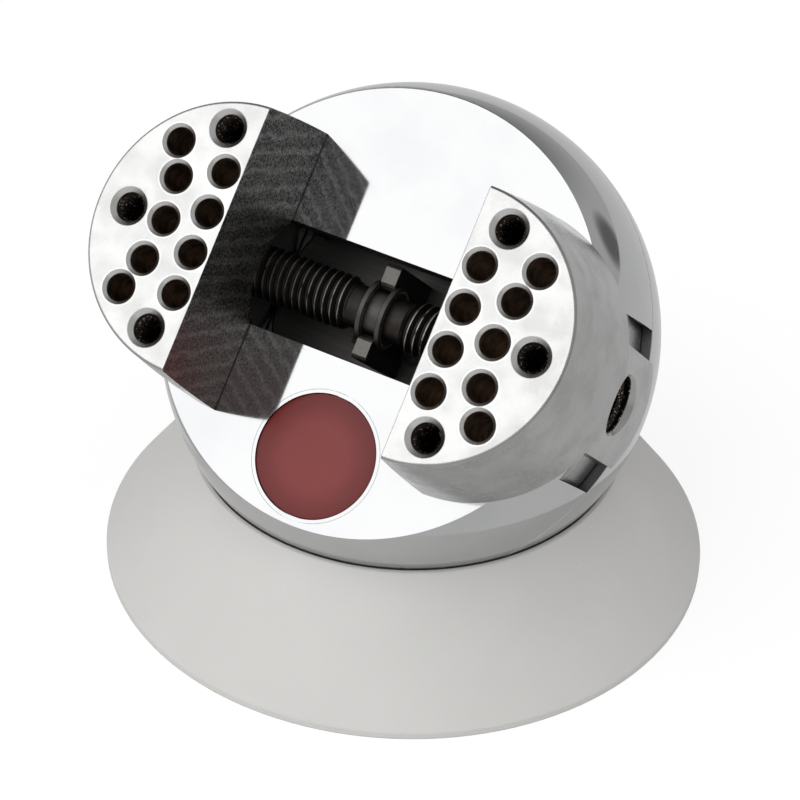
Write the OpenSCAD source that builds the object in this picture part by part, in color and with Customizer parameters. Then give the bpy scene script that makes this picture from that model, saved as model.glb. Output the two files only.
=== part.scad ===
// Ball vise: a steel ball in a soft cone-shaped rest, with a head that turns on it and two D-shaped
// jaws that a left-and-right-hand screw opens and closes about the middle.
// Sizes are in millimetres. The ball's own frame has its origin at the ball's centre, +Z towards the
// jaws and +X along the lead screw. The whole object stands on Z = 0 with the rest's middle at the origin.

/* [Ball and head] */
// Diameter of the ball
ball_d = 73.6; // [70:0.2:84]
// Height of the head's flat top above the ball's centre
plate_h = 16.8; // [15:0.1:20]
// Height of the seam between ball and head
seam_h = 1.5; // [0.5:0.1:2]
// Width of the seam
seam_gap = 0.3; // [0.2:0.05:0.6]
// Chamfer round the head's flat top
rim_chamfer = 0.2; // [0.1:0.1:0.6]

/* [Ways for the jaws] */
// Width of the open slot across the head
slot_w = 16.2; // [15.4:0.1:17.4]
// Height of the slot's floor above the head's underside
floor_rise = 0.15; // [0.1:0.05:0.6]
// Width of the undercut that holds the jaws down
way_w = 25; // [22:0.5:30]
// Height of the undercut's upper face
way_high = 11; // [9:0.1:12.5]
// Play between the jaws and the ways
slide_gap = 0.1; // [0.05:0.01:0.2]

/* [Jaws] */
// Distance of each jaw face from the middle, as opened
jaw_open = 17; // [9:0.5:18]
// Height of the jaws above the head
jaw_h = 21.4; // [19:0.1:28]
// Radius of the jaws' round back at the foot
jaw_base_r = 21.5; // [20.5:0.1:23]
// Radius of the jaws' round back at the top
jaw_top_r = 19.45; // [19:0.05:20.5]
// Part of the narrowing that is straight rather than curved
jaw_straight = 0.7; // [0.5:0.1:1]
// Radius of the jaw flanges' ends about the ball's axis, as opened
flange_r = 35.2; // [34:0.1:35.6]
// Metal missing at each jaw face from a full circle
jaw_kerf = 0.35; // [0:0.05:1]
// Chamfer along the jaws' top edge
jaw_chamfer = 0.3; // [0.1:0.1:0.6]
// Radius of the arch that clears the screw
arch_r = 8.3; // [7.9:0.1:9]
// Depth of the arch into the jaw face
arch_depth = 4; // [3.2:0.1:6]

/* [Holes in the jaw tops] */
// Diameter of the pin holes
pin_d = 4; // [3:0.1:4.4]
// Spacing of the pin holes in the row beside the jaw face
pin_pitch = 6; // [5.6:0.1:6.4]
// Distance of that row from the jaw face
pin_row = 2.8; // [2.6:0.1:3.2]
// Depth of the pin holes
pin_depth = 12; // [6:0.5:14]
// Chamfer at the pin holes
pin_chamfer = 0.5; // [0.2:0.1:0.6]
// Core diameter of the threaded holes
tap_d = 4.2; // [3.3:0.1:4.6]
// Depth of the threaded holes
tap_depth = 11; // [6:0.5:14]
// Chamfer at the threaded holes
tap_chamfer = 0.7; // [0.3:0.1:0.8]

/* [Lead screw] */
// Height of the screw's axis above the ball's centre
screw_h = 13.4; // [12.9:0.1:13.6]
// Outer diameter of the thread
screw_d = 8; // [7:0.5:8]
// Length of the screw
screw_len = 62; // [58:1:64]
// Pitch of both threads, one left-hand and one right-hand
screw_pitch = 1.25; // [1:0.25:1.5]
// Radial play between the thread and the jaws
thread_gap = 0.07; // [0.03:0.01:0.1]
// Diameter of the two collars
collar_d = 9.4; // [9:0.1:10.4]
// Thickness of each collar
collar_t = 0.8; // [0.6:0.1:1.2]
// Diameter between the collars
journal_d = 6.8; // [6:0.1:7.2]
// Diameter of the plain necks outside the collars
neck_d = 6.4; // [5.6:0.1:7]
// Length of each neck
neck_len = 2.4; // [1.5:0.1:3]
// Width across flats of the key sockets
socket_af = 4; // [3:0.5:5]
// Depth of the key sockets
socket_depth = 5; // [3:0.5:8]
// Chamfer at the jaws' key holes
mouth_chamfer = 1; // [0.5:0.1:1.2]

/* [Screw fork] */
// Thickness of the fork between the collars
fork_t = 2.3; // [1.8:0.1:2.6]
// Width over the prongs
fork_w = 14.4; // [13:0.1:15]
// Width of each prong's flat top
prong_w = 2.3; // [1.6:0.1:2.4]
// Height of the prongs above the screw's axis
prong_h = 2.6; // [2:0.1:3]
// Bevel outside and inside each prong
prong_bevel = 0.55; // [0.3:0.05:0.8]
// Length of the fork's foot
foot_len = 14; // [12:0.5:18]
// Width of the fork's foot
foot_w = 9; // [8:0.5:12]
// Thickness of the fork's foot
foot_t = 1.3; // [1:0.1:1.3]
// Diameter of the foot's screws
foot_screw_d = 2.5; // [2:0.1:3]
// Head diameter of the foot's screws
foot_screw_head = 4.8; // [4:0.1:5.2]
// Width across corners of the sockets in the foot's screws
foot_socket = 1.5; // [1.2:0.1:1.8]
// Length of the foot's screws
foot_screw_len = 4.5; // [3.5:0.5:4.5]
// Distance of the foot's screws from the middle
foot_screw_at = 4.2; // [4:0.1:4.6]
// Play between the foot and the pocket under each jaw
foot_gap = 0.3; // [0.2:0.05:0.6]

/* [Pivot and bearing] */
// Step from the bearing out to the head's spigot
spigot_step = 0.5; // [0.4:0.1:2.5]
// Depth of the spigot below the ball's centre
spigot_low = 6; // [5:0.1:7]
// Play round the spigot
spigot_gap = 0.4; // [0.2:0.05:0.6]
// Outer diameter of the thrust bearing
bearing_d = 41; // [39:0.5:43]
// Bore of the thrust bearing
bearing_bore = 24; // [23:0.5:25]
// Thickness of each race
race_t = 2.4; // [2:0.1:3]
// Distance between the races
race_space = 2.8; // [2.4:0.1:3.2]
// Diameter of the bearing's balls
roller_d = 5; // [4.4:0.1:5.2]
// Number of balls in the bearing
roller_count = 14; // [10:1:16]
// Thickness of the cage
cage_t = 1.4; // [1:0.1:2]
// Width of the cage
cage_w = 6.6; // [6:0.1:7.2]
// Play at located and turning faces
fit_gap = 0.05; // [0.03:0.01:0.08]
// Diameter of the head's spindle
spindle_d = 19; // [17:0.5:20]
// Outer diameter of the pivot bush
bush_d = 24; // [22.5:0.5:25]
// Thickness of the web under the bush
web_t = 2; // [1.5:0.1:2.5]
// Diameter of the pivot stud
stud_d = 10; // [8:0.5:10]
// Metal between the foot's screws and the stud's end
stud_cover = 1.4; // [1:0.1:2]
// Outer diameter of the pivot washer
washer_d = 22; // [20:0.5:24]
// Thickness of the pivot washer
washer_t = 1.5; // [1:0.1:2]
// Outer diameter of the two disc springs
spring_d = 20; // [18:0.5:22]
// Thickness of each disc spring
spring_t = 0.9; // [0.6:0.1:1.1]
// Height of each disc spring's cone
spring_rise = 0.4; // [0.2:0.1:0.5]
// Width across flats of the lock nut
nut_af = 16; // [15:0.5:17]
// Height of the lock nut
nut_h = 5; // [4:0.1:5.5]
// Diameter of the plug in the ball's underside
plug_d = 26; // [24.5:0.5:28]
// Thickness of the plug at its middle
plug_t = 4.9; // [3.5:0.1:5.5]
// Free height between the stud's end and the plug
plug_clear = 0.5; // [0.3:0.1:1]
// Diameter of the plug's two spanner holes
spanner_d = 2.5; // [2:0.1:3]
// Distance between the spanner holes
spanner_pitch = 14; // [10:0.5:16]
// Depth of the spanner holes
spanner_depth = 1.5; // [1:0.1:1.8]

/* [Badge] */
// Diameter of the badge over its ring
badge_d = 19.2; // [16:0.1:19.4]
// Width of the badge's ring
badge_ring_w = 0.5; // [0.3:0.1:1]
// Distance of the badge's middle from the screw
badge_at = 22.2; // [21.6:0.1:22.4]
// Depth of the badge's recess
badge_depth = 1.2; // [0.8:0.1:2]
// How far the disc lies below the ring's top
badge_sink = 0.15; // [0.1:0.05:0.3]

/* [Rest] */
// Diameter of the rest on the table
rest_d = 92; // [90:0.5:110]
// Height of the ball's centre above the table
rest_lift = 38.2; // [37.6:0.1:46]
// Height of the rest's upper lip
lip_h = 19.3; // [16:0.1:20]
// Width of the lip's flat top
lip_w = 0.6; // [0.4:0.1:1.5]
// Height of the rest's outer edge
edge_h = 1; // [0.6:0.1:2]
// Play between the ball and the rest
seat_gap = 0.15; // [0.1:0.05:0.3]
// Diameter of the hole through the rest
rest_bore = 30; // [20:1:40]

/* [Pose] */
// Lean of the ball from upright
tilt = 47.1; // [0:0.1:54]
// Turn of the head on the ball
turn = -3.7; // [-180:0.1:180]

/* [Hidden] */
$fn = 96;
hole_fn = 48;
wall_steps = 4;
past = 1;
ball_r = ball_d / 2;
head_low = seam_h + seam_gap / 2;
ball_high = seam_h - seam_gap / 2;
floor_h = head_low + floor_rise;
rim_r = sqrt(ball_r * ball_r - plate_h * plate_h);
jaw_low = plate_h + slide_gap;
jaw_top = plate_h + jaw_h;
flange_low = floor_h + slide_gap;
flange_high = way_high - slide_gap;
screw_bore_r = screw_d / 2 + thread_gap;
thread_start = fork_t / 2 + fit_gap + collar_t + neck_len;
foot_head_h = (foot_screw_head - foot_screw_d) / 2;
// Pin holes as distance from the jaw face and from the middle: the row, then the fan behind it
pin_places = [
    for (i = [-1.5 : 1 : 1.5]) [pin_row, i * pin_pitch],
    [8.5, 0], [9.2, 6.1], [9.2, -6.1], [10.9, 10.9], [10.9, -10.9]
];
tap_places = [[4.7, 14.8], [4.7, -14.8], [14.2, 0]];
// Heights down the bearing, from the spigot
spigot_d = bearing_d + 2 * spigot_step;
upper_race_low = -spigot_low - race_t;
roller_h = upper_race_low - race_space / 2;
lower_race_high = upper_race_low - race_space;
seat_h = lower_race_high - race_t;
pitch_r = (bearing_bore + bearing_d) / 4;
// Heights up the pivot, from the plug
plug_high = plug_t - ball_r;
stud_low = plug_high + plug_clear;
nut_low = stud_low + fit_gap;
springs_low = nut_low + nut_h;
washer_low = springs_low + 2 * (spring_t + spring_rise);
web_low = washer_low + washer_t + fit_gap;
bush_low = web_low + web_t;
spindle_low = bush_low + spigot_gap;
stud_top = floor_h + foot_t - foot_screw_len - stud_cover;

// Places a shape of the ball's own frame in the leaning ball
module in_ball() {
    translate([0, 0, rest_lift]) rotate([tilt, 0, 0]) children();
}

// Places a shape of the ball's own frame in the turned head
module in_head() {
    in_ball() rotate([0, 0, turn]) children();
}

// A flat ring from height low to height high
module ring(outer_r, inner_r, low, high) {
    translate([0, 0, low]) difference() {
        cylinder(r = outer_r, h = high - low);
        translate([0, 0, -past]) cylinder(r = inner_r, h = high - low + 2 * past);
    }
}

// A countersink that opens upwards at height high
module countersink(r, chamfer, high) {
    translate([0, 0, high - chamfer])
        cylinder(r1 = r, r2 = r + 2 * chamfer, h = 2 * chamfer, $fn = hole_fn);
}

// A blind hole with a chamfered mouth at height high
module blind_hole(d, depth, chamfer, high) {
    translate([0, 0, high - depth]) cylinder(d = d, h = depth + past, $fn = hole_fn);
    countersink(d / 2, chamfer, high);
}

// Soft cone-shaped ring with a spherical seat for the ball
module rest() {
    lip_r = sqrt(pow(ball_r + seat_gap, 2) - pow(rest_lift - lip_h, 2));
    color("gainsboro") difference() {
        rotate_extrude() polygon([[0, 0], [rest_d / 2, 0], [rest_d / 2, edge_h],
            [lip_r + lip_w, lip_h], [0, lip_h]]);
        translate([0, 0, rest_lift]) sphere(r = ball_r + seat_gap);
        translate([0, 0, -past]) cylinder(d = rest_bore, h = lip_h);
    }
}

// Lower part of the ball, bored for the bearing, the bush and the pivot
module ball() {
    color("silver") in_ball() difference() {
        sphere(r = ball_r);
        translate([0, 0, ball_high]) cylinder(r = ball_r + past, h = ball_r);
        translate([0, 0, lower_race_high]) cylinder(r = spigot_d / 2 + spigot_gap, h = ball_r);
        translate([0, 0, seat_h]) cylinder(r = bearing_d / 2 + fit_gap, h = ball_r);
        translate([0, 0, bush_low]) cylinder(d = bush_d, h = ball_r);
        translate([0, 0, -ball_r]) cylinder(d = stud_d + 2 * spigot_gap, h = ball_r);
        translate([0, 0, web_low - ball_r]) cylinder(d = plug_d, h = ball_r);
    }
}

// Bronze bush that the head's spindle turns in
module pivot_bush() {
    color("peru") in_ball() ring(bush_d / 2, spindle_d / 2 + fit_gap, bush_low, seat_h);
}

// A race from height low to height high, grooved for the balls
module race(low, high) {
    difference() {
        ring(bearing_d / 2, bearing_bore / 2, low, high);
        translate([0, 0, roller_h]) rotate_extrude() translate([pitch_r, 0])
            circle(r = roller_d / 2 + fit_gap, $fn = hole_fn);
    }
}

module lower_race() {
    color("lightslategray") in_ball() race(seat_h, lower_race_high);
}

module upper_race() {
    color("lightslategray") in_head() race(upper_race_low, -spigot_low);
}

// Places a copy at each ball of the bearing
module each_roller() {
    for (i = [0 : roller_count - 1])
        rotate([0, 0, i * 360 / roller_count]) translate([pitch_r, 0, roller_h]) children();
}

module bearing_cage() {
    color("darkgoldenrod") in_ball() difference() {
        ring(pitch_r + cage_w / 2, pitch_r - cage_w / 2, roller_h - cage_t / 2, roller_h + cage_t / 2);
        each_roller() translate([0, 0, -cage_t])
            cylinder(r = roller_d / 2 + fit_gap, h = 2 * cage_t, $fn = hole_fn);
    }
}

module bearing_balls() {
    color("lightgray") in_ball() each_roller() sphere(d = roller_d, $fn = hole_fn);
}

// The slot and the wider undercut below it, both open downwards to the seam
module ways() {
    translate([-ball_r - past, -slot_w / 2, 0]) cube([ball_d + 2 * past, slot_w, ball_r]);
    translate([-ball_r - past, -way_w / 2, 0]) cube([ball_d + 2 * past, way_w, way_high]);
}

// Places a copy at each of the fork's screws
module each_foot_screw() {
    for (side = [-1, 1]) translate([side * foot_screw_at, 0, floor_h]) children();
}

// Upper part of the ball: two cheeks with flat tops stand on the spigot, whose top is the slot's floor
module head() {
    color("silver") in_head() difference() {
        union() {
            difference() {
                intersection() {
                    sphere(r = ball_r);
                    rotate_extrude() polygon([[0, head_low], [ball_r + past, head_low],
                        [ball_r + past, plate_h - ball_r - past + rim_r - rim_chamfer],
                        [rim_r - rim_chamfer, plate_h], [0, plate_h]]);
                }
                ways();
            }
            translate([0, 0, -spigot_low]) cylinder(d = spigot_d, h = spigot_low + floor_h);
            translate([0, 0, upper_race_low + spigot_gap])
                cylinder(r = bearing_bore / 2 - fit_gap, h = race_t);
            translate([0, 0, spindle_low]) cylinder(d = spindle_d, h = -spindle_low);
        }
        translate([0, -badge_at, plate_h - badge_depth]) cylinder(d = badge_d + 2 * fit_gap, h = ball_r);
        translate([0, 0, spindle_low - past])
            cylinder(r = stud_d / 2 + fit_gap, h = stud_top - spindle_low + past);
        each_foot_screw() translate([0, 0, foot_t - foot_screw_len - fit_gap])
            cylinder(r = foot_screw_d / 2 + fit_gap, h = foot_screw_len, $fn = hole_fn);
    }
}

// Stud that holds the head down on the bearing
module pivot_stud() {
    color("dimgray") in_head() translate([0, 0, stud_low])
        cylinder(d = stud_d, h = stud_top - fit_gap - stud_low);
}

module pivot_washer() {
    color("lightslategray") in_head()
        ring(washer_d / 2, stud_d / 2 + 2 * fit_gap, washer_low, web_low - fit_gap);
}

// Two cone-shaped springs set rim to rim, which keep the head's drag even
module disc_springs() {
    bore_r = stud_d / 2 + 2 * fit_gap;
    height = spring_t + spring_rise;
    color("slategray") in_head() translate([0, 0, springs_low]) for (side = [0, 1])
        translate([0, 0, side * 2 * height]) mirror([0, 0, side]) rotate_extrude()
            polygon([[bore_r, 0], [spring_d / 2, spring_rise], [spring_d / 2, height], [bore_r, spring_t]]);
}

module lock_nut() {
    color("darkgray") in_head() translate([0, 0, nut_low]) difference() {
        cylinder(d = nut_af / cos(30), h = nut_h, $fn = 6);
        translate([0, 0, -past]) cylinder(r = stud_d / 2 + fit_gap, h = nut_h + 2 * past);
    }
}

// Domed plug that closes the ball's underside
module ball_plug() {
    color("silver") in_ball() difference() {
        intersection() {
            sphere(r = ball_r);
            translate([0, 0, -ball_r - past])
                cylinder(r = plug_d / 2 - fit_gap, h = ball_r + past + plug_high);
        }
        for (side = [-1, 1]) translate([side * spanner_pitch / 2, 0, -ball_r - past])
            cylinder(d = spanner_d, h = past + spanner_depth + ball_r - sqrt(pow(ball_r, 2)
                - pow(spanner_pitch / 2, 2)), $fn = hole_fn);
    }
}

// Half outline of the lead screw, from its middle to one end, as length and radius
function screw_side() = let (
    end = screw_len / 2,
    collar_in = fork_t / 2 + fit_gap,
    collar_out = collar_in + collar_t
) [
    [journal_d / 2, 0], [journal_d / 2, collar_in], [collar_d / 2, collar_in],
    [collar_d / 2, collar_out], [neck_d / 2, collar_out], [neck_d / 2, thread_start],
    [screw_d / 2, thread_start + (screw_d - neck_d) / 2],
    [screw_d / 2, end - screw_pitch], [screw_d / 2 - screw_pitch, end], [0, end]
];

module lead_screw() {
    color("#3a3836") in_head() translate([0, 0, screw_h]) rotate([0, 90, 0]) difference() {
        for (side = [0, 1]) mirror([0, 0, side]) rotate_extrude() polygon(concat([[0, 0]], screw_side()));
        for (side = [0, 1]) mirror([0, 0, side]) translate([0, 0, screw_len / 2 - socket_depth])
            cylinder(d = socket_af / cos(30), h = socket_depth + past, $fn = 6);
    }
}

// Outline of the fork across the screw: two bevelled prongs on a solid base
module fork_outline() {
    top = screw_h + prong_h;
    outer = fork_w / 2;
    journal = journal_d / 2 + fit_gap;
    flat_out = outer - prong_bevel;
    flat_in = flat_out - prong_w;
    difference() {
        polygon([[-outer, floor_h], [outer, floor_h], [outer, top - prong_bevel], [flat_out, top],
            [-flat_out, top], [-outer, top - prong_bevel]]);
        translate([0, screw_h]) circle(r = journal);
        translate([-journal, screw_h]) square([2 * journal, ball_r]);
        polygon([[-journal, top - flat_in + journal], [journal, top - flat_in + journal],
            [flat_in + past, top + past], [-flat_in - past, top + past]]);
    }
}

// Fork that stands between the screw's collars and keeps it from moving endways
module screw_fork() {
    color("gray") in_head() difference() {
        union() {
            translate([-fork_t / 2, 0, 0]) rotate([90, 0, 90]) linear_extrude(fork_t) fork_outline();
            translate([-foot_len / 2, -foot_w / 2, floor_h]) cube([foot_len, foot_w, foot_t]);
        }
        each_foot_screw() {
            translate([0, 0, -past])
                cylinder(r = foot_screw_d / 2 + fit_gap, h = foot_t + 2 * past, $fn = hole_fn);
            countersink(foot_screw_d / 2 + fit_gap, foot_head_h, foot_t);
        }
    }
}

// Countersunk screws of the fork's foot
module fork_screws() {
    color("dimgray") in_head() each_foot_screw() difference() {
        union() {
            translate([0, 0, foot_t - foot_screw_len])
                cylinder(d = foot_screw_d, h = foot_screw_len, $fn = hole_fn);
            translate([0, 0, foot_t - foot_head_h])
                cylinder(d1 = foot_screw_d, d2 = foot_screw_head, h = foot_head_h, $fn = hole_fn);
        }
        translate([0, 0, foot_t - foot_head_h]) cylinder(d = foot_socket, h = ball_r, $fn = 6);
    }
}

// The jaws' round back narrows above the head, a little faster near the top
function back_r(h) = let (t = max(0, h - plate_h) / jaw_h)
    jaw_base_r - (jaw_base_r - jaw_top_r) * (jaw_straight * t + (1 - jaw_straight) * t * t);

// The full turned shape that both jaws are cut from
module jaw_blank() {
    rotate_extrude() polygon(concat([[0, flange_low], [jaw_base_r, flange_low]],
        [for (i = [0 : wall_steps])
            let (h = plate_h + (jaw_h - jaw_chamfer) * i / wall_steps) [back_r(h), h]],
        [[back_r(jaw_top) - jaw_chamfer, jaw_top], [0, jaw_top]]));
}

// One jaw with its face at X = 0 and its back towards +X
module jaw() {
    difference() {
        union() {
            intersection() {
                translate([-jaw_kerf, 0, 0]) jaw_blank();
                union() {
                    translate([0, -ball_r, jaw_low]) cube([ball_r, ball_d, jaw_h]);
                    translate([0, slide_gap - slot_w / 2, flange_low])
                        cube([ball_r, slot_w - 2 * slide_gap, jaw_top - flange_low]);
                }
            }
            intersection() {
                translate([0, slide_gap - way_w / 2, flange_low])
                    cube([ball_r, way_w - 2 * slide_gap, flange_high - flange_low]);
                translate([-jaw_open, 0, 0]) cylinder(r = flange_r, h = way_high);
            }
        }
        // Arch that clears the collars and the fork
        translate([-past, 0, screw_h]) rotate([0, 90, 0]) cylinder(r = arch_r, h = arch_depth + past);
        translate([-past, -arch_r, 0]) cube([arch_depth + past, 2 * arch_r, screw_h]);
        // Pocket for the fork's foot, for when the jaws close
        translate([-past, -foot_w / 2 - foot_gap, 0])
            cube([past + foot_len / 2 + foot_gap, foot_w + 2 * foot_gap, floor_h + foot_t + foot_gap]);
        // Threaded bore and its mouth
        translate([-past, 0, screw_h]) rotate([0, 90, 0]) cylinder(r = screw_bore_r, h = ball_d);
        translate([back_r(screw_h) - jaw_kerf - mouth_chamfer, 0, screw_h]) rotate([0, 90, 0])
            cylinder(r1 = screw_bore_r, r2 = screw_bore_r + 2 * mouth_chamfer, h = 2 * mouth_chamfer);
        for (p = pin_places) translate([p[0], p[1], 0]) blind_hole(pin_d, pin_depth, pin_chamfer, jaw_top);
        for (p = tap_places) translate([p[0], p[1], 0]) blind_hole(tap_d, tap_depth, tap_chamfer, jaw_top);
    }
}

module jaw_left() {
    color("gainsboro") in_head() mirror([1, 0, 0]) translate([jaw_open, 0, 0]) jaw();
}

module jaw_right() {
    color("gainsboro") in_head() translate([jaw_open, 0, 0]) jaw();
}

module badge_disc() {
    color("#7c3236") in_head() translate([0, -badge_at, plate_h - badge_depth])
        cylinder(r = badge_d / 2 - badge_ring_w - fit_gap, h = badge_depth - badge_sink);
}

module badge_ring() {
    color("lightgray") in_head() translate([0, -badge_at, 0])
        ring(badge_d / 2, badge_d / 2 - badge_ring_w, plate_h - badge_depth, plate_h);
}

rest();
ball();
pivot_bush();
lower_race();
bearing_cage();
bearing_balls();
upper_race();
head();
pivot_stud();
pivot_washer();
disc_springs();
lock_nut();
ball_plug();
lead_screw();
screw_fork();
fork_screws();
jaw_left();
jaw_right();
badge_disc();
badge_ring();
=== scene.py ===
# %% [markdown]
# # Dressing a ball vise
# An engraver's ball vise is a heavy steel ball in a soft ring. The upper part of the ball turns, and two
# D-shaped jaws slide on it. Its solids come from CAD as a fixed frame, and this lesson gives them
# finishes, cut threads, worn edges and light. The frame could be traced by hand, but then every
# part would drift from the real sizes, so it is loaded and never moved.

# %% Load the frame
import math

import bmesh
import bpy
from mathutils import Matrix, Vector


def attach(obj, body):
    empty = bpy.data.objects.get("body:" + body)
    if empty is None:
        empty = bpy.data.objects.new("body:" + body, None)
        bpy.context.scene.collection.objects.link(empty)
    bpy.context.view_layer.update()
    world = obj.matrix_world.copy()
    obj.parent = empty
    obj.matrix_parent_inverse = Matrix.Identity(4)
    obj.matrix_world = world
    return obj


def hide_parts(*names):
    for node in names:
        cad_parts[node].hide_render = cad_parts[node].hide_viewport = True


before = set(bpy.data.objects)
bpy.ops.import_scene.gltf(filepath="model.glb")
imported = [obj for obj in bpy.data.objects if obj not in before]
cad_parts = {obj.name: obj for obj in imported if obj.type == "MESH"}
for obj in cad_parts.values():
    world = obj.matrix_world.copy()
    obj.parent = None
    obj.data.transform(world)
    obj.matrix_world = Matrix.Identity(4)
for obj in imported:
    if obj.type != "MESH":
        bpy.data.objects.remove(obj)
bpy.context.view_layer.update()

# %% [markdown]
# ## Three frames of reference
# The whole object stands on the table, the ball leans in it, and the head is turned on the ball. A part
# of the head is far easier to draw along the screw than across the table. Each frame is therefore a
# matrix, and a point written in millimetres goes through it once. Heights on the ball and the head are
# measured from the ball's centre, which lies LIFT above the table.

# %% Frames of the ball and the head
MM = 0.001
BALL_R, PLATE_H, JAW_TOP, SCREW_H = 36.8, 16.8, 38.2, 13.4
LIFT, LEAN, TURN = 38.2, 47.1, -3.7
BALL = Matrix.Translation((0, 0, LIFT * MM)) @ Matrix.Rotation(math.radians(LEAN), 4, "X")
HEAD = BALL @ Matrix.Rotation(math.radians(TURN), 4, "Z")
TABLE = Matrix.Identity(4)
HALF_TURN = Matrix.Rotation(math.pi, 4, "Z")
print("screw runs along", tuple(round(v, 3) for v in HEAD.col[0][:3]))

# %% [markdown]
# ## Camera
# The vise is seen from the front and above with a long lens, which keeps the ball round. The place of
# the camera could be found by trial, but it was worked out once from the holes and the rim, so it is
# written here as a point and three directions.

# %% Camera
CAMERA_AT, LENS, SENSOR = (0.13732, -0.29524, 0.26515), 121.15, 36
camera = bpy.data.objects.new("camera", bpy.data.cameras.new("camera"))
bpy.context.scene.collection.objects.link(camera)
right, up, back = (0.8967, 0.4419, 0.0254), (-0.2801, 0.5222, 0.8055), (0.3426, -0.7294, 0.5921)
aim = Matrix((right, up, back)).transposed().to_4x4()
camera.matrix_world = Matrix.Translation(CAMERA_AT) @ aim
camera.data.lens, camera.data.sensor_width = LENS, SENSOR
bpy.context.scene.camera = camera
print("camera at", tuple(round(v, 3) for v in camera.location))

# %% [markdown]
# ## Sums that build nodes
# Both finishes and Geometry Nodes need arithmetic on values that only exist while Blender works. Linking
# dozens of Math nodes by hand hides what they say. A small class that wraps a socket lets an ordinary
# Python expression add those nodes, and one method makes every other kind of node.

# %% A socket that does sums
class Wire:
    """One output of a node tree. Python's signs on it add Math nodes."""

    def __init__(self, tree, socket):
        self.tree, self.socket = tree, socket

    def math(self, operation, *others):
        return self.tree.node("ShaderNodeMath", {"operation": operation}, [self, *others])

    def __add__(self, other):
        return self.math("ADD", other)

    def __sub__(self, other):
        return self.math("SUBTRACT", other)

    def __rsub__(self, other):
        return self.tree.node("ShaderNodeMath", {"operation": "SUBTRACT"}, [other, self])

    def __mul__(self, other):
        return self.math("MULTIPLY", other)

    def __truediv__(self, other):
        return self.math("DIVIDE", other)

    def __mod__(self, other):
        return self.math("FLOORED_MODULO", other)

    def __gt__(self, other):
        return self.math("GREATER_THAN", other)

    def __lt__(self, other):
        return self.math("LESS_THAN", other)

    def __abs__(self):
        return self.math("ABSOLUTE")

    __radd__, __rmul__ = __add__, __mul__

    def atleast(self, other):
        return self.math("MAXIMUM", other)

    def atmost(self, other):
        return self.math("MINIMUM", other)

    def ramp(self, low, high):
        """0 below low, 1 above high and a soft slope between them."""
        kind = {"interpolation_type": "SMOOTHSTEP"}
        return self.tree.node("ShaderNodeMapRange", kind, {"Value": self, "From Min": low, "From Max": high})

    def output(self, name):
        return Wire(self.tree, self.socket.node.outputs[name])

# %% A tree that makes nodes
class Tree:
    """A node tree with one way to add any node."""

    def __init__(self, nodes):
        self.nodes = nodes

    def node(self, kind, settings=None, inputs=(), out=None):
        """Adds a node, sets it, feeds its sockets by place or by name, and returns one output."""
        node = self.nodes.nodes.new(kind)
        for name, value in (settings or {}).items():
            setattr(node, name, value)
        named = inputs.items() if isinstance(inputs, dict) else enumerate(inputs)
        for name, value in named:
            open_sockets = [s for s in node.inputs if s.enabled]
            socket = [s for i, s in enumerate(open_sockets) if name in (i, s.name)][0]
            if isinstance(value, Wire):
                self.nodes.links.new(value.socket, socket)
            elif value is not None:
                socket.default_value = value
        outputs = [s for s in node.outputs if s.enabled and (out is None or s.name == out)]
        return Wire(self, outputs[0]) if outputs else node

print("a wire adds", Wire.__add__.__name__, "and a tree makes", Tree.node.__name__)

# %% [markdown]
# ## From Geometry Nodes to a plain mesh
# A modifier's result only lives in the modifier. The export needs a plain mesh that sits at the origin,
# so each tree is run once, its result is copied to a new object, and the helper object goes away.

# %% Run a tree once
def new_group(name, sizes):
    """A Geometry Nodes tree with named inputs. Returns it, its input wires and its identifiers."""
    group = bpy.data.node_groups.new(name, "GeometryNodeTree")
    group.interface.new_socket("Geometry", in_out="INPUT", socket_type="NodeSocketGeometry")
    keys = {}
    for label, (kind, value) in sizes.items():
        socket = group.interface.new_socket(label, in_out="INPUT", socket_type=kind)
        keys[label] = socket.identifier
        if value is not None:
            socket.default_value = value
    group.interface.new_socket("Geometry", in_out="OUTPUT", socket_type="NodeSocketGeometry")
    tree = Tree(group)
    first = tree.node("NodeGroupInput")
    return tree, {name: first.output(name) for name in ["Geometry", *sizes]}, keys


def link(obj):
    bpy.context.scene.collection.objects.link(obj)
    return obj


def run_group(name, tree, keys, values, start=None):
    """Runs a tree on a start mesh and returns the result as a plain object."""
    helper = link(bpy.data.objects.new(name + "_helper", start or bpy.data.meshes.new(name + "_start")))
    modifier = helper.modifiers.new("nodes", "NODES")
    modifier.node_group = tree.nodes
    for label, value in values.items():
        modifier[keys[label]] = value
    bpy.context.view_layer.update()
    graph = bpy.context.evaluated_depsgraph_get()
    mesh = bpy.data.meshes.new_from_object(helper.evaluated_get(graph), depsgraph=graph)
    helper.modifiers.remove(modifier)
    bpy.data.objects.remove(helper)
    mesh.name = name
    return link(bpy.data.objects.new(name, mesh))

# %% [markdown]
# ## Small helpers for meshes
# Turned parts are rings of points joined row by row, and sharp corners are marked by angle so that
# round walls shade smoothly while steps stay crisp. A ring of almost no radius, POLE, closes an end.

# %% Rows of points, joining and shading
POINTS, SHARP, POLE = 96, 35, 0.001
ROUND = [2 * math.pi * i / POINTS for i in range(POINTS)]


def skin(name, rows, place):
    """Joins equal rings of points, in millimetres of a frame, into a mesh."""
    bm = bmesh.new()
    made = [[bm.verts.new(place @ (Vector(p) * MM)) for p in row] for row in rows]
    for low, high in zip(made, made[1:]):
        for i in range(POINTS):
            after = (i + 1) % POINTS
            bm.faces.new([low[i], low[after], high[after], high[i]])
    bmesh.ops.remove_doubles(bm, verts=bm.verts, dist=1e-7)
    return finish_mesh(name, bm)


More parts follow.
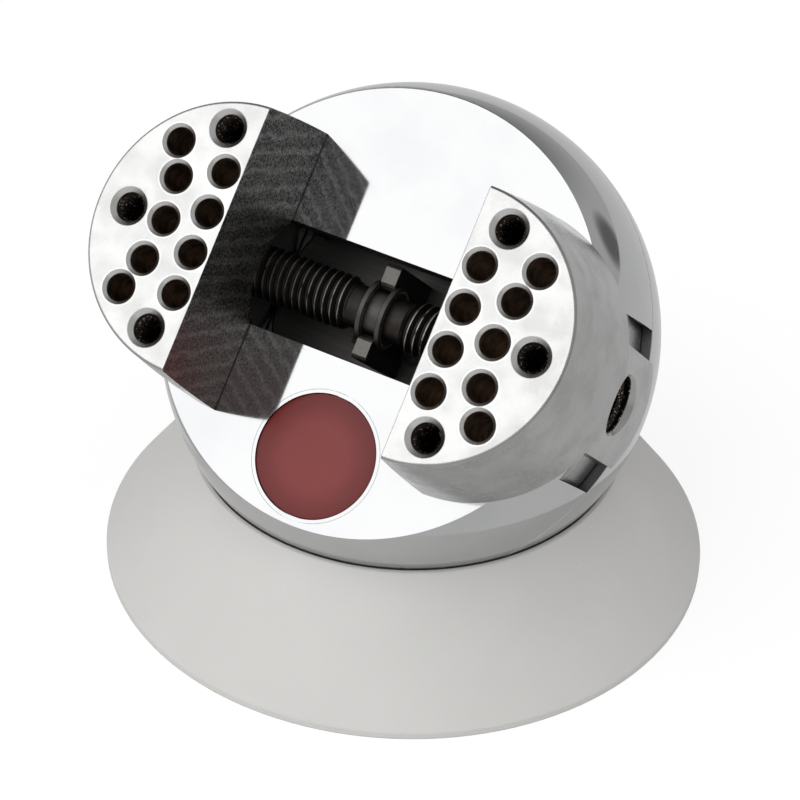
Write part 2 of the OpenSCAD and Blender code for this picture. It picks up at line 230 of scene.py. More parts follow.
def finish_mesh(name, bm):
    """Turns a bmesh into an object whose faces point outwards and whose steps stay crisp."""
    bmesh.ops.recalc_face_normals(bm, faces=bm.faces)
    mesh = bpy.data.meshes.new(name)
    bm.to_mesh(mesh)
    bm.free()
    mesh.shade_smooth()
    mesh.set_sharp_from_angle(angle=math.radians(SHARP))
    print(name, len(mesh.polygons), "faces")
    return link(bpy.data.objects.new(name, mesh))


def turned(name, outline, place, axis="Z"):
    """A turned part: an outline of (radius, height) points, carried round an axis."""
    rows = []
    for radius, height in outline:
        ring = [(radius * math.cos(t), radius * math.sin(t), height) for t in ROUND]
        rows.append([(p[2], p[0], p[1]) if axis == "X" else p for p in ring])
    return skin(name, rows, place)


def joined(name, *pieces):
    """Puts several meshes into one object."""
    bm = bmesh.new()
    for piece in pieces:
        bm.from_mesh(piece.data)
        bpy.data.objects.remove(piece)
    return finish_mesh(name, bm)

# %% [markdown]
# ## Lead screw
# The screw has a right-hand thread on one half and a left-hand thread on the other, so one turn moves
# both jaws. Seen from its right end it closes them clockwise, so its right half is the left-handed one.
# A thread could be an array of rings, but rings don't climb. Here a Geometry Nodes grid is rolled round
# the axis, sheared by one pitch for each turn, and its radius follows the thread's form: flat crests and
# roots with a flank between them. Both edges of the flank are shares of a pitch from the crest's middle.

# %% The thread as a rule
REAL, WHOLE, ARROW, PAINT = "NodeSocketFloat", "NodeSocketInt", "NodeSocketVector", "NodeSocketMaterial"
PITCH, CREST_R, ROOT_R, TIP_R = 1.25, 4.0, 3.25, 2.9
STARTS, SCREW_END, LEAD_IN = 4.4, 31.0, 0.05
RUN = SCREW_END - STARTS
CREST_EDGE, ROOT_EDGE = 0.0625, 0.4375
THREAD = {"Length": (REAL, RUN), "Pitch": (REAL, PITCH), "Crest": (REAL, CREST_R), "Root": (REAL, ROOT_R),
          "Start": (REAL, STARTS), "Tip": (REAL, TIP_R), "Hand": (REAL, 1.0), "Rows": (WHOLE, 100),
          "Place": (ARROW, None), "Turn": (ARROW, None), "Finish": (PAINT, None)}
thread, sizes, thread_keys = new_group("cut thread", THREAD)
grid = thread.node("GeometryNodeMeshGrid", {}, {
    "Size X": 1.0, "Size Y": 1.0, "Vertices X": 65, "Vertices Y": sizes["Rows"]}, "Mesh")
spot = thread.node("ShaderNodeSeparateXYZ", {}, [thread.node("GeometryNodeInputPosition")])
around, along = spot.output("X") + 0.5, spot.output("Y") + 0.5
run = along * (sizes["Length"] + sizes["Pitch"]) + (around - 1) * sizes["Pitch"]
length = run.atleast(0.0).atmost(sizes["Length"])
from_crest = abs((length / sizes["Pitch"] - around) % 1.0 - 0.5)
flank = ((ROOT_EDGE - from_crest) / (ROOT_EDGE - CREST_EDGE)).atleast(0.0).atmost(1.0)
cut = sizes["Root"] + flank * (sizes["Crest"] - sizes["Root"])
tapered = cut.atmost(sizes["Tip"] + (sizes["Length"] - length))
radius = tapered.atmost(sizes["Root"] - LEAD_IN + length)
angle = around * (2 * math.pi) * sizes["Hand"]
point = thread.node("ShaderNodeCombineXYZ", {}, [
    sizes["Start"] + length, radius * angle.math("COSINE"), radius * angle.math("SINE")])
rolled = thread.node("GeometryNodeSetPosition", {}, {"Geometry": grid, "Position": point})
placed = thread.node("GeometryNodeTransform", {}, {
    "Geometry": rolled, "Translation": sizes["Place"], "Rotation": sizes["Turn"], "Scale": (MM, MM, MM)})
real = thread.node("GeometryNodeRealizeInstances", {}, [placed])
coated = thread.node("GeometryNodeSetMaterial", {}, {"Geometry": real, "Material": sizes["Finish"]})
thread.node("NodeGroupOutput", {}, [coated])
print("thread tree", len(thread.nodes.nodes), "nodes")

# %% Both halves of the screw
ROWS_PER_TURN = 16
AXIS = HEAD @ Matrix.Translation((0, 0, SCREW_H * MM))
ENDS = {"right": AXIS, "left": AXIS @ HALF_TURN}
halves = []
for side, hand in (("right", -1.0), ("left", 1.0)):
    halves.append(run_group("thread_" + side, thread, thread_keys, {
        "Length": RUN, "Pitch": PITCH, "Hand": hand, "Start": STARTS,
        "Rows": int(ROWS_PER_TURN * (RUN / PITCH + 1)) + 1,
        "Place": tuple(ENDS[side].translation), "Turn": tuple(ENDS[side].to_euler())}))
    print("thread", side, len(halves[-1].data.polygons), "faces")

# %% [markdown]
# The plain middle has the journal that the fork holds, a collar on each side of it and two necks. It is
# turned from one outline. Each end closes round a hexagon socket, whose ring of points lies on a
# hexagon instead of a circle.

# %% Collars and key sockets
NECK_R, COLLAR_R, JOURNAL_R, CORNER = 3.2, 4.7, 3.4, 0.1
JOURNAL_HALF, COLLAR_END = 1.2, 2.0
middle = [(NECK_R, STARTS), (NECK_R, COLLAR_END), (COLLAR_R - CORNER, COLLAR_END),
          (COLLAR_R, COLLAR_END - CORNER), (COLLAR_R, JOURNAL_HALF + CORNER),
          (COLLAR_R - CORNER, JOURNAL_HALF), (JOURNAL_R, JOURNAL_HALF)]
outline = [(r, -h) for r, h in middle] + [(r, h) for r, h in reversed(middle)]
collars = turned("collars", outline, AXIS, axis="X")
KEY, KEY_MOUTH, KEY_CHAMFER, KEY_DEPTH, DRILLED = 4.0, 4.3, 0.15, 5.0, 6.2


def hexagon(turn, flats):
    """Distance from the middle to the side of a hexagon, in one direction."""
    return flats / 2 / math.cos((turn + math.pi / 6) % (math.pi / 3) - math.pi / 6)


def socket_end(side):
    """The screw's end face with its hexagon socket and the drill's point behind it."""
    rings = ((SCREW_END, lambda t: TIP_R), (SCREW_END, lambda t: hexagon(t, KEY_MOUTH)),
             (SCREW_END - KEY_CHAMFER, lambda t: hexagon(t, KEY)),
             (SCREW_END - KEY_DEPTH, lambda t: hexagon(t, KEY)), (SCREW_END - DRILLED, lambda t: POLE))
    rows = [[(x, r(t) * math.cos(t), r(t) * math.sin(t)) for t in ROUND] for x, r in rings]
    return skin("socket_" + side, rows, ENDS[side])


screw = joined("lead_screw_cut", collars, socket_end("right"), socket_end("left"), *halves)
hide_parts("lead_screw")
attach(screw, "screw_body")

# %% [markdown]
# ## Threads inside the jaws
# Three holes in each jaw top are tapped, and so is the bore that the screw runs in. Inside a dark hole
# only the ridges show. One tree lays a helix, sweeps a small diamond along it and sets a copy at each
# hole. In the bore the ridges lie in the screw's grooves, so both use one pitch and one starting angle.

# %% A helical ridge for each tapped hole
TAP_PITCH, TAP_R = 0.8, 2.1
RIDGE = {"Turns": (REAL, 12.0), "Pitch": (REAL, TAP_PITCH), "Wall": (REAL, TAP_R), "Height": (REAL, 0.3),
         "Hand": (REAL, 1.0), "Steps": (WHOLE, 300), "Turn": (ARROW, None), "Finish": (PAINT, None)}
ridge, sizes, ridge_keys = new_group("tapped ridge", RIDGE)
line = ridge.node("GeometryNodeCurvePrimitiveLine", {}, {"End": (0.0, 0.0, 1.0)})
dense = ridge.node("GeometryNodeResampleCurve", {}, {"Curve": line, "Count": sizes["Steps"]})
share = ridge.node("GeometryNodeSplineParameter", {}, {}, "Factor")
angle = share * sizes["Turns"] * sizes["Hand"] * (2 * math.pi)
helix = ridge.node("ShaderNodeCombineXYZ", {}, [
    sizes["Wall"] * angle.math("COSINE"), sizes["Wall"] * angle.math("SINE"),
    share * sizes["Turns"] * sizes["Pitch"]])
coil = ridge.node("GeometryNodeSetPosition", {}, {"Geometry": dense, "Position": helix})
upright = ridge.node("GeometryNodeSetCurveNormal", {"mode": "Z_UP"}, {"Curve": coil})
diamond = ridge.node("GeometryNodeCurvePrimitiveCircle", {}, {"Resolution": 4, "Radius": sizes["Height"]})
swept = ridge.node("GeometryNodeCurveToMesh", {}, {
    "Curve": upright, "Profile Curve": diamond, "Fill Caps": True})
copies = ridge.node("GeometryNodeInstanceOnPoints", {}, {
    "Points": sizes["Geometry"], "Instance": swept, "Rotation": sizes["Turn"], "Scale": (MM, MM, MM)})
real = ridge.node("GeometryNodeRealizeInstances", {}, [copies])
coated = ridge.node("GeometryNodeSetMaterial", {}, {"Geometry": real, "Material": sizes["Finish"]})
ridge.node("NodeGroupOutput", {}, [coated])
print("ridge tree", len(ridge.nodes.nodes), "nodes")

# %% Ridges in both jaws
JAW_OPEN, PIN_DEPTH, TAP_DEPTH, MOUTH, CLEAR = 17.0, 12.0, 11.0, 0.7, 0.3
TAPPED = [(4.7, 14.8), (4.7, -14.8), (14.2, 0.0)]
TAP_RIDGE, TAP_STEPS = 0.34, 32
BORE_R, BORE_RIDGE, BORE_STEPS = 4.07, 0.55, 48
BORE_FROM, BORE_TO = STARTS + 14 * PITCH, 36.6
ALONG = Matrix(((0, 0, 1), (1, 0, 0), (0, 1, 0))).to_4x4()


def places(name, points):
    """A mesh of single points of the head, for the copies to stand on."""
    mesh = bpy.data.meshes.new(name)
    mesh.from_pydata([HEAD @ (Vector(p) * MM) for p in points], [], [])
    return mesh


for side, sign in (("left", -1), ("right", 1)):
    floors = [(sign * (JAW_OPEN + x), y, JAW_TOP - TAP_DEPTH + CLEAR) for x, y in TAPPED]
    turns = (TAP_DEPTH - MOUTH - 2 * CLEAR) / TAP_PITCH
    taps = run_group("taps_" + side, ridge, ridge_keys, {
        "Turns": turns, "Pitch": TAP_PITCH, "Wall": TAP_R, "Height": TAP_RIDGE,
        "Steps": int(turns * TAP_STEPS), "Turn": tuple(HEAD.to_euler())}, places("holes", floors))
    turns = (BORE_TO - BORE_FROM) / PITCH
    outwards = HEAD if sign == 1 else HEAD @ HALF_TURN
    bore = run_group("bore_" + side, ridge, ridge_keys, {
        "Turns": turns, "Pitch": PITCH, "Wall": BORE_R, "Height": BORE_RIDGE, "Hand": float(-sign),
        "Steps": int(turns * BORE_STEPS), "Turn": tuple((outwards @ ALONG).to_euler())},
        places("mouth", [(sign * BORE_FROM, 0, SCREW_H)]))
    ridges = joined("jaw_threads_" + side, taps, bore)
    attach(ridges, "jaw_" + side + "_body")

# %% [markdown]
# ## Badge
# The badge is a disc of dark red enamel in a thin bright ring, and it is left bare. Poured enamel
# draws itself up into a slight dome and rolls over at its edge, so the disc is turned from a soft curve
# instead of a flat face.

# %% Domed badge disc
BADGE = HEAD @ Matrix.Translation((0, -22.2 * MM, 0))
DISC_R, DISC_TOP, DISC_LOW, DOME = 9.05, 16.62, 15.6, 0.14
crown = [(DISC_R * s, DISC_TOP + DOME * (1 - s * s)) for s in (0.2, 0.4, 0.6, 0.8, 0.92, 0.97)]
roll = [(DISC_R - 0.1, DISC_TOP - 0.02), (DISC_R - 0.03, DISC_TOP - 0.1), (DISC_R, DISC_TOP - 0.25)]
dome = [(POLE, DISC_TOP + DOME), *crown, *roll, (DISC_R, DISC_LOW), (POLE, DISC_LOW)]
badge = turned("badge_dome", dome, BADGE)
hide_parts("badge_disc")
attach(badge, "head_body")

# %% [markdown]
# ## Finishes
# Each finish is one Principled shader. Its pattern is written in millimetres of the head, the ball or
# the table, so a scratch keeps its size on every part and stays put when the part moves. The pattern
# changes colour, roughness and the surface's tilt, and plain numbers are set on the shader itself.

# %% Shader helpers
class Finish(Tree):
    """A material with one shader, and patterns in millimetres of a frame."""

    def __init__(self, name, place, **constants):
        self.material = bpy.data.materials.new(name)
        self.material.use_nodes = True
        super().__init__(self.material.node_tree)
        self.shader = self.nodes.nodes["Principled BSDF"]
        for socket, value in constants.items():
            self.shader.inputs[socket.replace("_", " ")].default_value = value
        inverse = place.inverted()
        self.seen = self.node("ShaderNodeTexCoord", {}, {}, "Object")
        self.mm = self.node("ShaderNodeMapping", {}, {
            "Vector": self.seen, "Location": tuple(inverse.translation / MM),
            "Rotation": tuple(inverse.to_euler()), "Scale": (1 / MM, 1 / MM, 1 / MM)})
        spot = self.node("ShaderNodeSeparateXYZ", {}, [self.mm])
        self.x, self.y, self.z = spot, spot.output("Y"), spot.output("Z")

    def scaled(self, *scale):
        return self.node("ShaderNodeMapping", {}, {"Vector": self.mm, "Scale": scale})

    def noise(self, size, detail=3.0, stretch=(1, 1, 1), rough=0.55):
        """Soft noise from 0 to 1 whose lumps measure about size millimetres."""
        at = self.scaled(*(s / size for s in stretch))
        return self.node("ShaderNodeTexNoise", {}, {
            "Vector": at, "Scale": 1.0, "Detail": detail, "Roughness": rough})

    def cells(self, size):
        """Overlapping round dents about size millimetres apart."""
        at = self.scaled(1 / size, 1 / size, 1 / size)
        return self.node("ShaderNodeTexVoronoi", {}, {"Vector": at, "Scale": 1.0}, "Distance")

    def from_axis(self, one, other):
        """Distance from an axis, by the two coordinates across it."""
        across = self.node("ShaderNodeCombineXYZ", {}, [one, other, 0.0])
        return self.node("ShaderNodeVectorMath", {"operation": "LENGTH"}, [across], "Value")

    def blend(self, share, low, high):
        """A colour between two colours."""
        low, high = [(*c, 1) if isinstance(c, tuple) else c for c in (low, high)]
        kind = {"data_type": "RGBA", "clamp_factor": True}
        return self.node("ShaderNodeMix", kind, {"Factor": share, "A": low, "B": high})

    def edge(self, radius):
        """Rounds sharp edges in the shading, and says where they are."""
        soft = self.node("ShaderNodeBevel", {"samples": 6}, {"Radius": radius * MM})
        flat = self.node("ShaderNodeNewGeometry", {}, {}, "Normal")
        along = self.node("ShaderNodeVectorMath", {"operation": "DOT_PRODUCT"}, [soft, flat], "Value")
        return soft, (1 - along).ramp(0.004, 0.12)

    def wear(self, height, distance, normal=None):
        """A bump of a given height in millimetres, over any rounded normal."""
        return self.node("ShaderNodeBump", {}, {
            "Strength": 1.0, "Distance": distance * MM, "Height": height, "Normal": normal})

    def feed(self, **wires):
        """Links the patterns to the shader's sockets and returns the material."""
        for socket, wire in wires.items():
            self.nodes.links.new(wire.socket, self.shader.inputs[socket.replace("_", " ")])
        return self.material


def coat(material, *names):
    """Gives a finish to CAD nodes or to finished pieces."""
    for name in names:
        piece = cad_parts[name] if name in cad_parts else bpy.data.objects[name]
        if not piece.data.materials:
            piece.data.materials.append(material)
        for i in range(len(piece.data.materials)):
            piece.data.materials[i] = material
    print(material.name, "on", ", ".join(names))

# %% [markdown]
# ### Polished chrome
# Ball and head are one ground sphere under chrome. Chrome mirrors the room, so any facet of the mesh
# would show as a kink. The sphere's own normal is known exactly, it points away from the centre, so it
# is used wherever a point lies on the sphere. Fingers and cloth leave faint smears and hairlines. Two
# places stay rough and darker: the ways that were milled in the head, whose near-black colour is painted
# shade under the head's lip, and all of the ball that was turned on a lathe instead of ground round. A
# point within SKIN of the sphere, or within TOUCH of a flat, counts as on it.

# %% Chrome for ball and head
SKIN, TOUCH, WAY_HALF = 0.12, 0.06, 12.6


def chrome(name, place, milled):
    look = Finish(name, place, Metallic=1.0)
    centre = look.node("ShaderNodeVectorMath", {"operation": "SUBTRACT"}, [look.seen, (0, 0, LIFT * MM)])
    reach = look.node("ShaderNodeVectorMath", {"operation": "LENGTH"}, [centre], "Value") / MM
    on_ball = reach > BALL_R - SKIN
    outward = look.node("ShaderNodeVectorTransform", {
        "vector_type": "NORMAL", "convert_from": "OBJECT", "convert_to": "WORLD"}, [centre])
    true = look.node("ShaderNodeNewGeometry", {}, {}, "Normal")
    normal = look.node("ShaderNodeMix", {"data_type": "VECTOR"}, {"Factor": on_ball, "A": true, "B": outward})
    smear = look.noise(14, 4).ramp(0.42, 0.72)
    hair = look.noise(0.35, 2, (0.03, 1, 1)).ramp(0.66, 0.74) * look.noise(9, 2).ramp(0.5, 0.7)
    rough = 0.045 + smear * 0.05 + hair * 0.12
    colour = look.blend(smear * 0.5 + hair * 0.3, (0.56, 0.562, 0.566), (0.5, 0.505, 0.515))
    if milled:
        ways_in_shade = (abs(look.y) < WAY_HALF) * (look.z < PLATE_H - TOUCH) * (1 - on_ball)
        cutter = look.noise(0.25, 2, (0.02, 1, 1))
        rough = rough + ways_in_shade * (0.3 + cutter * 0.15)
        # The ways' near-black colour is painted shade under the head's lip; their roughness is the milled
        # finish.
        colour = look.blend(ways_in_shade, colour, look.blend(cutter, (0.09, 0.087, 0.083), (0.24, 0.232, 0.225)))
    else:
        lathe = look.noise(0.3, 2)
        rough = rough + (1 - on_ball) * (0.26 + lathe * 0.12)
        colour = look.blend(1 - on_ball, colour, look.blend(lathe, (0.24, 0.24, 0.238), (0.4, 0.4, 0.397)))
    return look.feed(Base_Color=colour, Roughness=rough, Normal=look.wear(hair, 0.002, normal))


coat(chrome("chrome_head", HEAD, True), "head", "badge_ring")
coat(chrome("chrome_ball", BALL, False), "ball", "ball_plug")

# %% [markdown]
# ### Ground and worn jaws
# The jaws are satin: their tops were ground, their backs turned, and their faces have closed on
# thousands of jobs. The pattern finds each surface from its place: the holes by the distance to their
# axes, the face by its distance from the middle. Jaws are mirrored, so one half of each pattern is enough.

# %% Where the holes are
PIN_HOLES = [(2.8, 3.0), (2.8, 9.0), (8.5, 0.0), (9.2, 6.1), (10.9, 10.9)]
TAP_HOLES = [(x, y) for x, y in TAPPED if y >= 0]
PIN_R = 2.0
BORE_SEEN_R, BORE_INNER, BORE_OUTER = 4.2, 20, 38.4


def nearest_hole(look):
    """Distance to the wall of the nearest hole in a jaw's top, in millimetres."""
    flat = look.node("ShaderNodeCombineXYZ", {}, [abs(look.x), abs(look.y), 0.0])
    near = None
    for (x, y), hole_r in [(p, PIN_R) for p in PIN_HOLES] + [(p, TAP_R) for p in TAP_HOLES]:
        axis = (JAW_OPEN + x, y, 0)
        away = look.node("ShaderNodeVectorMath", {"operation": "DISTANCE"}, [flat, axis], "Value") - hole_r
        near = away if near is None else near.atmost(away)
    return near


print("hole axes in half a jaw", len(PIN_HOLES) + len(TAP_HOLES))

# %% Satin steel with dark holes
def face_streaks_and_glints(look, sparkle):
    """The colour of a jaw's face: streaks, painted glints from the sparkle, and a warm tint at one side."""
    wave = look.y * 0.55 + look.z * 0.16 + look.noise(3.2, 2) * 1.3 + look.noise(0.6, 2) * 0.35
    streak = (wave * 4.2).math("SINE").ramp(0.1, 1.0) * (0.35 + look.noise(4.5, 2) * 0.65)
    # The sparkle in the colour is painted glints; in the bump below it is the face's real grain.
    streaks_and_glints = look.blend(streak * 0.4 + sparkle * 0.6, (0.12, 0.116, 0.11), (0.9, 0.895, 0.88))
    return look.blend(look.y.ramp(-4, -18) * 0.45, streaks_and_glints, (0.34, 0.2, 0.18))


def jaw_steel():
    look = Finish("satin_jaws", HEAD, Metallic=1.0)
    side, near = abs(look.x), nearest_hole(look)
    in_hole = (near < TOUCH) * (look.z > JAW_TOP - PIN_DEPTH - 0.1) * (look.z < JAW_TOP - 0.3)
    rim = (near < MOUTH + 0.02) * (near > 0.04) * (look.z > JAW_TOP - MOUTH - 0.05)
    bore = look.from_axis(look.y, look.z - SCREW_H)
    in_bore = (bore < BORE_SEEN_R) * (side > BORE_INNER) * (side < BORE_OUTER)
    face, top = side < JAW_OPEN + TOUCH, look.z > JAW_TOP - TOUCH
    # A thin strip at the foot of the jaw face, where it meets the plate, is painted near black: painted shade
    # in the crease.
    shaded_foot = face * (look.z < PLATE_H + 0.34)
    soft, edge = look.edge(0.14)
    grain, patch = look.noise(0.16, 3, (1, 1, 0.25)), look.noise(5, 4).ramp(0.35, 0.7)
    sparkle = look.noise(0.3, 2, rough=0.8).ramp(0.46, 0.58)
    scratch = look.noise(0.3, 2, (1, 0.03, 0.6)).ramp(0.68, 0.74)
    turned_back = look.blend(patch * 0.6 + grain * 0.3, (0.46, 0.46, 0.455), (0.36, 0.36, 0.355))
    ground_top = look.blend(grain * 0.7 + patch * 0.3, (0.68, 0.68, 0.675), (0.56, 0.56, 0.555))
    # The walls of the holes are painted dark brown: painted shade in the holes, with a brown tint.
    brown_shaded_wall = look.blend(look.noise(1.6, 3).ramp(0.3, 0.7), (0.2, 0.175, 0.155), (0.52, 0.4, 0.31))
    # Inside the screw's bore the wall is painted near black, as painted shade of the deep bore, with bright
    # flecks.
    shaded_bore_flecks = look.blend(look.noise(0.5, 2).ramp(0.6, 0.7), (0.02, 0.018, 0.016), (0.5, 0.48, 0.45))
    colour = look.blend(face, look.blend(top, turned_back, ground_top), face_streaks_and_glints(look, sparkle))
    colour = look.blend(shaded_foot, colour, (0.01, 0.01, 0.01))
    colour = look.blend(edge * (0.5 + 0.5 * patch) * (1 - rim), colour, (0.74, 0.74, 0.735))
    colour = look.blend(rim * 0.7, colour, (0.8, 0.8, 0.79))
    colour = look.blend(in_hole, colour, brown_shaded_wall)
    colour = look.blend(in_bore, colour, shaded_bore_flecks)
    rough = 0.16 + grain * 0.1 + patch * 0.08 + top * 0.08 + face * 0.14
    rough = (rough + (in_hole + in_bore) * 0.2 - edge * 0.06).atleast(0.08).atmost(0.8)
    bump = look.wear(grain * 0.5 + scratch * 0.8 + sparkle * (0.4 + face * 1.2), 0.006, soft)
    return look.feed(Base_Color=colour, Roughness=rough, Normal=bump)


coat(jaw_steel(), "jaw_left", "jaw_right")

# %% [markdown]
# ### Black oxide, rubbed on the crests
# The screw is blackened steel. Wherever metal rubs metal the black goes first,
# so the distance from the screw's axis decides where bright steel comes through. The threads inside the
# jaws are painted near black, as painted shade of their holes, with bright flecks.

# %% Black steel
def black_screw():
    look = Finish("black_screw", AXIS, Metallic=1.0)
    out = look.from_axis(look.y, look.z)
    patch, fine = look.noise(1.5, 4), look.noise(0.12, 2)
    rubbed = CREST_R - 0.1
    crest = (out + fine * 0.1).ramp(rubbed + 0.08, rubbed + 0.16) * patch.ramp(0.3, 0.5)
    crest = crest * (out < rubbed + 0.4)
    collar = (abs(look.x) < COLLAR_END + 0.05) * (out > JOURNAL_R - 0.1)
    bright = (crest * 0.75 + collar * 0.14).atmost(1.0)
    black = look.blend(patch, (0.03, 0.027, 0.025), (0.095, 0.085, 0.077))
    colour = look.blend(bright, black, (0.58, 0.575, 0.565))
    rough = 0.42 + fine * 0.2 - bright * 0.1
    return look.feed(Base_Color=colour, Roughness=rough, Normal=look.wear(fine, 0.02))


def shaded_thread():
    look = Finish("tapped_dark", HEAD, Metallic=1.0)
    fleck = look.noise(0.3, 2).ramp(0.58, 0.68)
    # The near-black colour is painted shade of the holes; bright flecks break it up.
    colour = look.blend(fleck, (0.03, 0.024, 0.02), (0.5, 0.47, 0.43))
    return look.feed(Base_Color=colour, Roughness=0.28 + look.noise(0.2) * 0.2, Normal=look.wear(fleck, 0.01))


def oiled_black():
    look = Finish("oiled_black", HEAD, Metallic=1.0)
    soft, edge = look.edge(0.1)
    film = look.noise(2.5, 4)
    black = look.blend(film, (0.025, 0.023, 0.022), (0.075, 0.07, 0.065))
    colour = look.blend(edge, black, (0.4, 0.4, 0.39))
    bump = look.wear(look.noise(0.15), 0.01, soft)
    return look.feed(Base_Color=colour, Roughness=0.28 + film * 0.2, Normal=bump)


coat(black_screw(), "lead_screw_cut")
coat(shaded_thread(), "jaw_threads_left", "jaw_threads_right")
coat(oiled_black(), "pivot_stud", "disc_springs", "fork_screws")

# %% [markdown]
# ### Blasted fork
# The fork was bead-blasted, which leaves tiny overlapping dents and a flat grey. Voronoi cells make the
# dents. Low in the slot it is shaded darker, and its rubbed top edges are brighter.

# %% Fork
def blasted():
    look = Finish("blasted_grey", HEAD, Metallic=1.0)
    soft, edge = look.edge(0.12)
    dents, patch = look.cells(0.22), look.noise(1.8, 3)
    top = look.z > SCREW_H + 2.2
    grey = look.blend(patch * 0.6 + dents * 0.4, (0.14, 0.134, 0.124), (0.3, 0.288, 0.268))
    shaded = look.blend(patch, (0.05, 0.048, 0.045), (0.11, 0.105, 0.1))
    colour = look.blend(edge * top * 0.4, look.blend(top, shaded, grey), (0.5, 0.49, 0.47))
    bump = look.wear(dents, 0.03, soft)
    return look.feed(Base_Color=colour, Roughness=0.42 + patch * 0.15 - edge * 0.1, Normal=bump)


coat(blasted(), "screw_fork")

# %% [markdown]
# ### Bearing steel and bronze
# The bearing and the pivot lie inside the ball. Races, nut and washer were ground round their axis, so
# their marks run in circles: the noise reads the radius instead of x and y. Cage and bush are bronze.

# %% Ground rings and bronze
RINGS_PER_MM = 9


def ground(name, low, high, rough):
    look = Finish(name, BALL, Metallic=1.0)
    out = look.from_axis(look.x, look.y)
    at = look.node("ShaderNodeCombineXYZ", {}, [out * RINGS_PER_MM, look.z * RINGS_PER_MM, 0.0])
    rings = look.node("ShaderNodeTexNoise", {}, {"Vector": at, "Scale": 1.0, "Detail": 3.0})
    soft, edge = look.edge(0.12)
    tone = look.noise(4, 3)
    colour = look.blend(tone * 0.6 + rings * 0.4, low, high)
    colour = look.blend(edge * 0.5, colour, tuple(min(1.0, c * 1.2) for c in high))
    return look.feed(Base_Color=colour, Roughness=rough + rings * 0.12, Normal=look.wear(rings, 0.004, soft))


bearing_steel = ground("ground_bearing", (0.5, 0.51, 0.52), (0.66, 0.67, 0.68), 0.12)
bronze = ground("turned_bronze", (0.42, 0.27, 0.12), (0.66, 0.46, 0.22), 0.24)
coat(bearing_steel, "lower_race", "upper_race", "bearing_balls", "lock_nut", "pivot_washer")
coat(bronze, "bearing_cage", "pivot_bush")

# %% [markdown]
# ### Enamel and soft rest
# Enamel is glass over pigment: an even dark red under a clear coat, painted paler towards the middle of the
# dome as painted light on its crown. The rest is a soft cast ring with a fine matt grain, a trace of dust
# in it, and edges painted lighter, partly rubbed and partly a painted highlight.

# %% Enamel
def enamel():
    look = Finish("dark_red_enamel", BADGE, Coat_Weight=0.12, Coat_Roughness=0.15, Specular_IOR_Level=0.3)
    cloud = look.noise(3, 4)
    # The middle of the dome is painted paler: painted light where the dome faces up, mixed with random cloudy
    # tone.
    lit_middle_and_cloud = (1 - look.from_axis(look.x, look.y).ramp(4.0, DISC_R + 0.05)) * 0.75 + cloud * 0.25
    colour = look.blend(lit_middle_and_cloud, (0.14, 0.007, 0.007), (0.245, 0.036, 0.034))
    bump = look.wear(look.noise(0.8, 2), 0.004)
    return look.feed(Base_Color=colour, Roughness=0.3 + cloud * 0.12, Normal=bump)


coat(enamel(), "badge_dome")

# %% Soft rest
def soft_rest():
    look = Finish("soft_rest", TABLE, Specular_IOR_Level=0.35)
    soft, edge = look.edge(0.45)
    grain, patch, dust = look.noise(0.25, 2), look.noise(16, 4), look.noise(0.7, 3).ramp(0.66, 0.78)
    colour = look.blend(patch, (0.66, 0.652, 0.635), (0.735, 0.728, 0.71))
    colour = look.blend(dust * 0.35, colour, (0.58, 0.57, 0.55))
    # Edges are painted lighter: partly rubbing, partly a painted highlight along the rim.
    colour = look.blend(edge * 0.25, colour, (0.8, 0.795, 0.78))
    return look.feed(Base_Color=colour, Roughness=0.55 + grain * 0.15, Normal=look.wear(grain, 0.02, soft))


coat(soft_rest(), "rest")

# %% [markdown]
# ## Floor and light
# The vise was shown on white under large soft lights, with a dark camera side, which is why its inner
# jaw face and half of the mirror look dark. The floor is white to the camera and a little darker to the
# mirror, but takes the shadow through its diffuse share.

# %% Floor
TO_CAMERA, TO_MIRROR = 1.14, 0.64
CAMERA_SHARE, MIRROR_SHARE = 0.7, 0.85
bm = bmesh.new()
bmesh.ops.create_grid(bm, x_segments=1, y_segments=1, size=2.0)
floor = finish_mesh("floor", bm)
white = bpy.data.materials.new("white_floor")
white.use_nodes = True
white.node_tree.nodes.clear()
paper = Tree(white.node_tree)
path = paper.node("ShaderNodeLightPath", {}, {}, "Is Camera Ray")
matt = paper.node("ShaderNodeBsdfDiffuse", {}, {"Color": (0.9, 0.9, 0.9, 1)})
shine = paper.node("ShaderNodeEmission", {}, {"Color": (1, 1, 1, 1), "Strength": TO_CAMERA})
mirrored = paper.node("ShaderNodeEmission", {}, {"Color": (1, 1, 1, 1), "Strength": TO_MIRROR})
seen = paper.node("ShaderNodeMixShader", {}, [path * CAMERA_SHARE, matt, shine])
glossy = path.output("Is Glossy Ray") * MIRROR_SHARE
mixed = paper.node("ShaderNodeMixShader", {}, [glossy, seen, mirrored])
paper.node("ShaderNodeOutputMaterial", {}, [mixed])
floor.data.materials.append(white)
print("floor shows", TO_CAMERA, "to the camera and", TO_MIRROR, "to the mirror")

# %% [markdown]
# The world is a plain grey room with soft round patches, since chrome shows little else. One patch is
# bright, one lights the side faintly, one is dark at the camera's side, one shades the back, and a small
# dark one lies low behind the vise. Each is a cone round a direction, so no picture is needed.

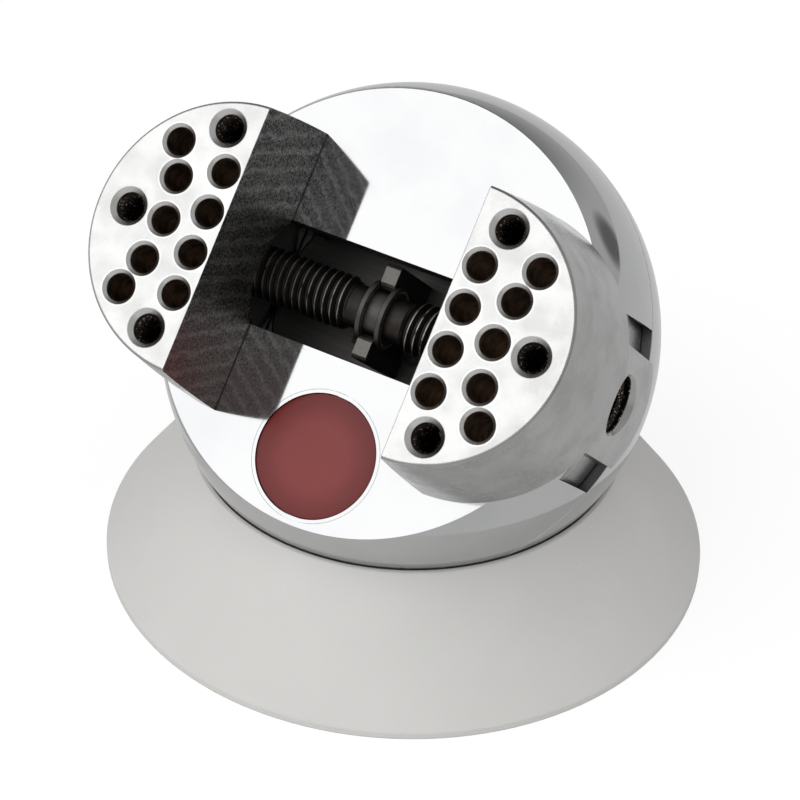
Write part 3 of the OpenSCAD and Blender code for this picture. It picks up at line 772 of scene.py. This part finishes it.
# %% World and key light
ROOM, BRIGHT, SIDE, SHADE, DARK, LOW_DARK = 0.47, 1.28, 0.05, 0.24, 0.56, 0.7
KEY_FROM, KEY_AWAY, KEY_SIZE, KEY_POWER = (-72, 62), 0.8, 0.9, 2.4


def toward(turn, height):
    """A direction from a compass turn and a height, in degrees."""
    turn, height = math.radians(turn), math.radians(height)
    return Vector((math.cos(height) * math.cos(turn), math.cos(height) * math.sin(turn), math.sin(height)))


world = bpy.data.worlds.new("studio")
bpy.context.scene.world = world
world.use_nodes = True
world.node_tree.nodes.clear()
room = Tree(world.node_tree)
look_at = room.node("ShaderNodeTexCoord", {}, {}, "Generated")


def patch_of(turn, height, inner, outer):
    """1 within a cone of inner degrees and 0 beyond outer degrees."""
    middle = tuple(toward(turn, height))
    facing = room.node("ShaderNodeVectorMath", {"operation": "DOT_PRODUCT"}, [look_at, middle], "Value")
    return facing.ramp(math.cos(math.radians(outer)), math.cos(math.radians(inner)))


bright = patch_of(-122, 46, 18, 30)
dark = patch_of(-60, 42, 16, 34)
side = patch_of(35, -5, 20, 60)
shade = patch_of(100, 35, 10, 40)
low_dark = patch_of(63, 3, 3, 9)
lit = ROOM + bright * BRIGHT + side * SIDE - shade * SHADE
level = lit * (1 - dark * DARK * (1 - bright)) * (1 - low_dark * LOW_DARK)
camera_sees = room.node("ShaderNodeLightPath", {}, {}, "Is Camera Ray")
level = level + (1 - level) * camera_sees
sky = room.node("ShaderNodeBackground", {}, {"Color": (1, 1, 1, 1), "Strength": level})
room.node("ShaderNodeOutputWorld", {}, [sky])

lamp = bpy.data.lights.new("key", "AREA")
lamp.shape, lamp.size, lamp.energy = "DISK", KEY_SIZE, KEY_POWER
key = link(bpy.data.objects.new("key", lamp))
key.location = toward(*KEY_FROM) * KEY_AWAY
key.rotation_euler = toward(*KEY_FROM).to_track_quat("Z", "Y").to_euler()
key.visible_glossy = False
bpy.context.scene.view_settings.view_transform = "Standard"
print("key light at", tuple(round(v, 2) for v in key.location))
